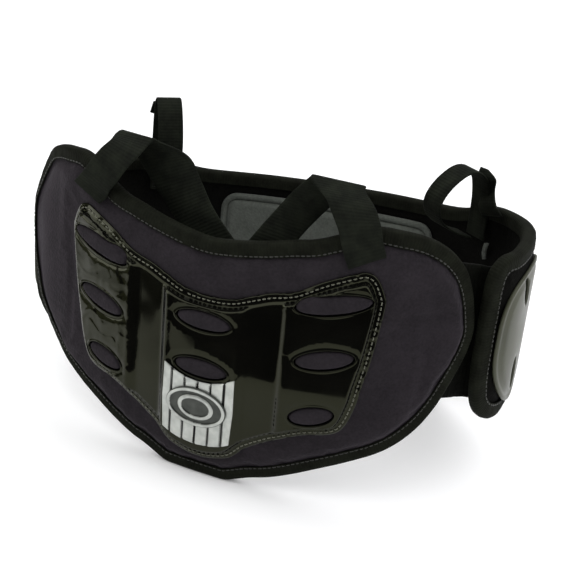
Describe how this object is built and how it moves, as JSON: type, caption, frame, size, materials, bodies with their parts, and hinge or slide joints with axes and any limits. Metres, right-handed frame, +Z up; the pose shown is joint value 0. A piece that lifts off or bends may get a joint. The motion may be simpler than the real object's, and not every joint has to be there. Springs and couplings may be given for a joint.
{
  "type": "rib protector",
  "caption": "Padded belt worn round the lower ribs, with a moulded front armour plate, webbing straps and side wings.",
  "frame": {"origin": "on the floor under the middle of the part's bounding box", "axes": "+Z up, the front armour plate faces -Y, +X to the viewer's right"},
  "size_m": [0.383, 0.2426, 0.2298],
  "materials": {
    "charcoal_fabric": "matte fleece-like knit over foam",
    "black_tape": "matte woven edging tape",
    "gloss_black_plastic": "high-gloss moulded sheet",
    "silver_plastic": "silver ribbed inset",
    "grey_lining": "moulded foam faced with grey knit",
    "grey_plastic": "satin moulded plastic",
    "webbing": "matte woven webbing"
  },
  "bodies": {
    "root": {"front_panel": "charcoal_fabric", "back_panel": "charcoal_fabric", "front_binding": "black_tape", "back_binding": "black_tape", "armour_plate": "gloss_black_plastic", "badge": "silver_plastic", "badge_boss": "silver_plastic", "back_lining": "grey_lining", "wing_plate_right": "grey_plastic", "wing_plate_left": "grey_plastic", "strap_right": "webbing", "strap_left": "webbing", "side_band_right": "webbing", "side_band_left": "webbing", "loop_right": "webbing", "loop_left": "webbing"}
  },
  "joints": []
}
